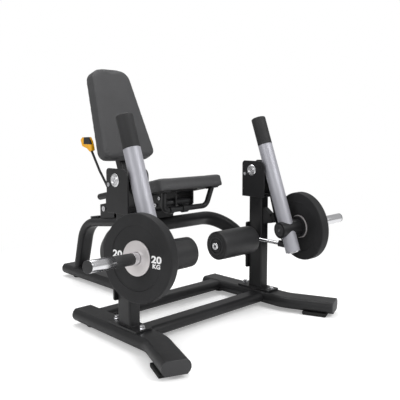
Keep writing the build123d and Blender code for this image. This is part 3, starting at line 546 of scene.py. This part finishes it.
def cushion(name, node, body, corners, radii, thick, place, topRound, lowRound):
    low = cushionForm["boardShows"] - thick
    bm = cushionBlock(corners, radii, low, -cushionForm["shrink"], place, topRound, lowRound)
    piece = makePiece(name, bm, "padCover", body, 60)
    even = piece.modifiers.new("even", "REMESH")
    even.mode = "VOXEL"
    even.voxel_size = cushionForm["voxel"]
    even.use_smooth_shade = True
    applied(piece)
    inflate(piece, place, low + 0.004)
    smooth = piece.modifiers.new("smooth", "CORRECTIVE_SMOOTH")
    smooth.iterations = 2
    smooth.use_only_smooth = True
    applied(piece)
    reach = cushionForm["shrink"]
    acrossAll, alongAll = [x for x, y in corners], [y for x, y in corners]
    fitTo(piece, place, (min(acrossAll) - reach, min(alongAll) - reach, low),
          (max(acrossAll) + reach, max(alongAll) + reach, 0))
    piece.data.shade_smooth()
    rounder = piece.modifiers.new("rounder", "SUBSURF")
    rounder.levels = 1
    rounder.render_levels = 1
    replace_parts(piece, node)
    return piece


def insetCorners(half0, half1, y0, y1, s):
    return [(-half0 + s, y0 + s), (half0 - s, y0 + s), (half1 - s, y1 - s), (-half1 + s, y1 - s)]


s = cushionForm["shrink"]
seatCorners = insetCorners(seat["half"], seat["half"], 0, seat["depth"], s)
cushion("seatCushion", "seat_pad", "frame", seatCorners, [seat["corner"]] * 4, seat["thick"], seatFrame(),
        0.008, 0.004)
sideTop, crown = back["length"] - 0.010, 0.014
backCorners = [(-back["low"] + s, s), (back["low"] - s, s), (back["high"] - s, sideTop - s),
               (0.040, sideTop + crown * 0.89 - s), (-0.040, sideTop + crown * 0.89 - s),
               (-back["high"] + s, sideTop - s)]
cushion("backCushion", "back_pad", "backrest", backCorners, [0.048, 0.048, 0.050, 0.012, 0.012, 0.050],
        back["thick"], backFrame(), 0.008, 0.004)
print("cushions made")

# pivot caps: a turned chrome disc with a ring and a socket screw
capForm = {"steps": 64, "socket": 0.005, "screw": 0.010}
caps = bmesh.new()
for side in (1, -1):
    for way in (1, -1):
        start = side * lever["x"] + way * pivot["headHalf"]
        place = axisFrame((start, pivot["y"], pivot["z"]), (way, 0, 0), (0, 0, 1))
        r, t = pivot["capRadius"], pivot["capThick"]
        form = [(0, 0), (r, 0), (r, t * 0.55), (r - 0.003, t), (r - 0.010, t), (r - 0.0115, t - 0.0012),
                (r - 0.013, t), (0.0125, t), (0.0115, t - 0.0030), (capForm["screw"], t - 0.0030),
                (capForm["screw"] - 0.0008, t - 0.0006), (capForm["socket"], t - 0.0006),
                (capForm["socket"], t - 0.004), (0, t - 0.004)]
        join(caps, spun(form, place, capForm["steps"], 0.0004, 2))
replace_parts(makePiece("pivotCaps", caps, "chrome", "frame"), "pivot_caps")

# roller end nuts: a chrome cup with a dark plug in it
for side, sideName in ((1, "right"), (-1, "left")):
    place = axisFrame((side * roller["inner"], roller["y"], roller["z"]), (-side, 0, 0), (0, 0, 1))
    cup = [(0, -0.008), (0.0095, -0.008), (0.0095, -0.0005), (0.019, -0.0005), (0.019, 0.0070),
           (0.0165, 0.010), (0.0135, 0.010), (0.0120, 0.0085), (0.0072, 0.0085), (0.0072, 0.0050),
           (0, 0.0050)]
    nut = makePiece(sideName + "RollerNut", spun(cup, place, 64, 0.0004, 2), "chrome", sideName + "_lever")
    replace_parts(nut, sideName + "_roller_nut")
    dot = [(0, 0.0052), (0.0070, 0.0052), (0.0070, 0.0068), (0, 0.0075)]
    makePiece(sideName + "RollerPlug", spun(dot, place, 32, 0.0003, 2), "mouldedBlack", sideName + "_lever")
print("caps and nuts made")

# weld beads where tubes stand on plates
beadForm = {"radius": 0.0030, "ripple": 0.16, "pitch": 0.0040, "step": 0.0013, "sides": 8}


def slotPath(half, end, steps=14):
    # a closed outline of straight sides joined by arcs: half = centre distance of the arcs, end = arc radius
    points = []
    for cx, start in ((half, -90), (-half, 90)):
        for i in range(steps + 1):
            a = rad(start + 180 * i / steps)
            points.append((cx + end * math.cos(a), end * math.sin(a)))
    return points


def cornerPath(wide, deep, corner, steps=6):
    points = []
    for sx, sy, start in ((1, 1, 0), (-1, 1, 90), (-1, -1, 180), (1, -1, 270)):
        for i in range(steps + 1):
            a = rad(start + 90 * i / steps)
            points.append((sx * (wide / 2 - corner) + corner * math.cos(a),
                           sy * (deep / 2 - corner) + corner * math.sin(a)))
    return points


def bead(bm, outline, place):
    f = beadForm
    loop = [place @ Vector((x, y, 0)) for x, y in outline]
    normal = (place.to_3x3() @ Vector((0, 0, 1))).normalized()
    path, walked = [], 0.0
    for a, b in zip(loop, loop[1:] + loop[:1]):
        count = max(1, round((b - a).length / f["step"]))
        path += [a.lerp(b, i / count) for i in range(count)]
    rings = []
    for i, point in enumerate(path):
        ahead = path[(i + 1) % len(path)]
        along = (ahead - path[i - 1]).normalized()
        side = along.cross(normal).normalized()
        walked += (ahead - point).length
        size = f["radius"] * (1 + f["ripple"] * math.sin(math.tau * walked / f["pitch"]))
        ring = []
        for k in range(f["sides"]):
            a = math.tau * k / f["sides"]
            ring.append(bm.verts.new(point + side * size * math.cos(a) + normal * size * math.sin(a)))
        rings.append(ring)
    for a, b in zip(rings, rings[1:] + rings[:1]):
        for k in range(f["sides"]):
            m = (k + 1) % f["sides"]
            bm.faces.new((a[k], a[m], b[m], b[k]))


welds = bmesh.new()
for side in (1, -1):
    for height, way in ((upright["low"], 1), (upright["high"], -1)):
        place = axisFrame((side * lever["x"], upright["y"], height), (0, 0, way))
        bead(welds, cornerPath(upright["wide"], upright["deep"], upright["corner"]), place)
    flangeFace = axisFrame((side * lever["x"], -0.342, 0.271), (0, 1, 0), (0, 0, 1))
    bead(welds, slotPath(0.031, 0.025), flangeFace)
bead(welds, slotPath(0.025, 0.0257), axisFrame((0, 0.713, 0.078), (0, 0, 1)))
makePiece("weldBeads", welds, "framePaint", "frame", 60)
print("welds laid")

# the rigid pieces get their hard edges rounded
edgeWidths = {
    "framePaint": {"left_head_bracket": 0.0016, "right_head_bracket": 0.0016, "left_upright": 0.0012,
                   "right_upright": 0.0012, "left_lever_web": 0.0014, "right_lever_web": 0.0014,
                   "stop_brackets": 0.0015, "arch_flanges": 0.0015, "rail_bracket": 0.0014,
                   "seat_bracket": 0.0012, "left_knuckle": 0.0012, "right_knuckle": 0.0012},
    "capGrey": {"foot_end_caps": 0.0010},
    "mouldedBlack": {"spine_cover_strip": 0.0015, "left_roller_core": 0.0006, "right_roller_core": 0.0006},
    "feetRubber": {"front_rubber_pads": 0.0025},
    "padBoard": {"seat_board": 0.0015, "back_board": 0.0015},
    "chrome": {"frame_bolts": 0.0006},
    "handleYellow": {"release_handle": 0.0015},
    "insertBlack": {"handle_insert": 0.0008},
}
for finish, group in edgeWidths.items():
    for node, width in group.items():
        softCopy(node, width, finish)
print("edges rounded")

# stage, lights and camera
floor = bpy.data.objects.new("studioFloor", bpy.data.meshes.new("studioFloor"))
floorMesh = bmesh.new()
bmesh.ops.create_grid(floorMesh, x_segments=1, y_segments=1, size=30)
floorMesh.to_mesh(floor.data)
floorMesh.free()
scene.collection.objects.link(floor)
floorPaint = bpy.data.materials.new("floorWhite")
floorPaint.use_nodes = True
floorTree = floorPaint.node_tree
floorShader = floorTree.nodes["Principled BSDF"]
floorShader.inputs["Base Color"].default_value = (0.90, 0.90, 0.90, 1)
floorShader.inputs["Roughness"].default_value = 0.9
floorShader.inputs["Specular IOR Level"].default_value = 0.1
floorShader.inputs["Emission Color"].default_value = (1, 1, 1, 1)
seenRays = floorTree.nodes.new("ShaderNodeLightPath")
lift = floorTree.nodes.new("ShaderNodeMath")
lift.operation = "MULTIPLY"
lift.inputs[1].default_value = 0.30
floorTree.links.new(seenRays.outputs["Is Camera Ray"], lift.inputs[0])
floorTree.links.new(lift.outputs["Value"], floorShader.inputs["Emission Strength"])
spot = floorTree.nodes.new("ShaderNodeTexCoord")
away = floorTree.nodes.new("ShaderNodeVectorMath")
away.operation = "LENGTH"
fade = floorTree.nodes.new("ShaderNodeMapRange")
fade.interpolation_type = "SMOOTHSTEP"
fade.inputs["From Min"].default_value = 0.95
fade.inputs["From Max"].default_value = 1.9
both = floorTree.nodes.new("ShaderNodeMath")
both.operation = "MULTIPLY"
plain = floorTree.nodes.new("ShaderNodeEmission")
blendIn = floorTree.nodes.new("ShaderNodeMixShader")
floorTree.links.new(spot.outputs["Object"], away.inputs[0])
floorTree.links.new(away.outputs["Value"], fade.inputs["Value"])
floorTree.links.new(fade.outputs["Result"], both.inputs[0])
floorTree.links.new(seenRays.outputs["Is Camera Ray"], both.inputs[1])
floorTree.links.new(both.outputs["Value"], blendIn.inputs["Fac"])
floorTree.links.new(floorShader.outputs["BSDF"], blendIn.inputs[1])
floorTree.links.new(plain.outputs["Emission"], blendIn.inputs[2])
floorTree.links.new(blendIn.outputs["Shader"], floorTree.nodes["Material Output"].inputs["Surface"])
floor.data.materials.append(floorPaint)

world = bpy.data.worlds.new("studioWorld")
world.use_nodes = True
scene.world = world
worldTree = world.node_tree
sky = worldTree.nodes["Background"]
sky.inputs["Color"].default_value = (1, 1, 1, 1)
sky.inputs["Strength"].default_value = 0.46
seen = worldTree.nodes.new("ShaderNodeBackground")
seen.inputs["Color"].default_value = (1, 1, 1, 1)
seen.inputs["Strength"].default_value = 1.0
rays = worldTree.nodes.new("ShaderNodeLightPath")
mix = worldTree.nodes.new("ShaderNodeMixShader")
worldTree.links.new(rays.outputs["Is Camera Ray"], mix.inputs["Fac"])
worldTree.links.new(sky.outputs["Background"], mix.inputs[1])
worldTree.links.new(seen.outputs["Background"], mix.inputs[2])
worldTree.links.new(mix.outputs["Shader"], worldTree.nodes["World Output"].inputs["Surface"])

lamps = {
    "keySoftbox": {"at": (0.6, -3.4, 3.0), "size": 2.0, "watts": 78},
    "leftSoftbox": {"at": (-3.6, -0.6, 2.0), "size": 1.6, "watts": 38},
    "topSoftbox": {"at": (0.2, 0.6, 3.6), "size": 2.6, "watts": 78},
}
for lampName, lamp in lamps.items():
    light = bpy.data.lights.new(lampName, "AREA")
    light.shape = "SQUARE"
    light.size = lamp["size"]
    light.energy = lamp["watts"]
    holder = bpy.data.objects.new(lampName, light)
    holder.location = lamp["at"]
    aim = Vector((0, -0.1, 0.5)) - holder.location
    holder.rotation_euler = aim.to_track_quat("-Z", "Y").to_euler()
    scene.collection.objects.link(holder)

camera = bpy.data.objects.new("camera", bpy.data.cameras.new("camera"))
camera.location = (-1.850, -2.367, 0.941)
azimuth, down = rad(44.65), rad(6.67)
look = Vector((math.sin(azimuth) * math.cos(down), math.cos(azimuth) * math.cos(down), -math.sin(down)))
camera.rotation_euler = look.to_track_quat("-Z", "Y").to_euler()
camera.data.sensor_width = 36
camera.data.lens = 558.14 / 400 * 36
camera.data.shift_x = -14.36 / 400
camera.data.shift_y = -4.64 / 400
camera.data.clip_start = 0.05
camera.data.clip_end = 100
scene.collection.objects.link(camera)
scene.camera = camera
scene.view_settings.view_transform = "Standard"
print("stage and camera ready")
